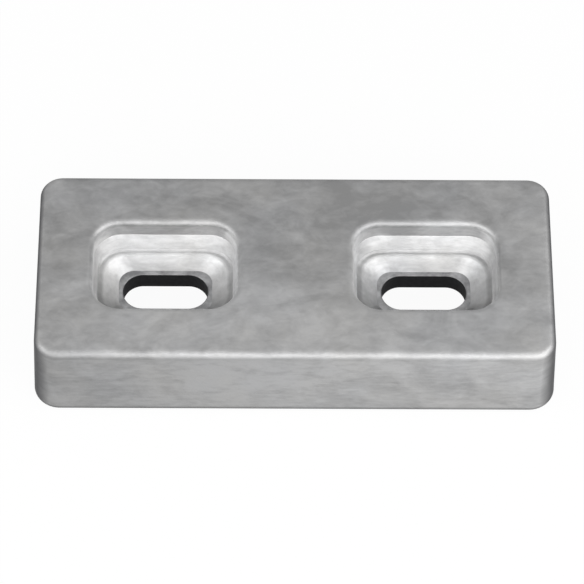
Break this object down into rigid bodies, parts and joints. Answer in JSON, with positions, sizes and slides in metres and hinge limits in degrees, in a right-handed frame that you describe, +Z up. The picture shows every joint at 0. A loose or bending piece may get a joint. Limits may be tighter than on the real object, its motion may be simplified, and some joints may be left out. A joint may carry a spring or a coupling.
{
  "type": "sacrificial anode",
  "caption": "Rectangular cast zinc block anode with drafted sides, a cast-in steel strap and stepped pockets over slotted bolt holes.",
  "frame": {"origin": "middle of the flat underside", "axes": "+X along the block through both slots, +Y across it, +Z up out of the stepped pockets"},
  "size_m": [0.1546, 0.0662, 0.0286],
  "materials": {
    "cast_zinc": "as cast, dull silvery grey with soft mottling",
    "strap_steel": "dark, dull mill finish"
  },
  "bodies": {
    "root": {"zinc_block": "cast_zinc", "steel_strap": "strap_steel"}
  },
  "joints": []
}
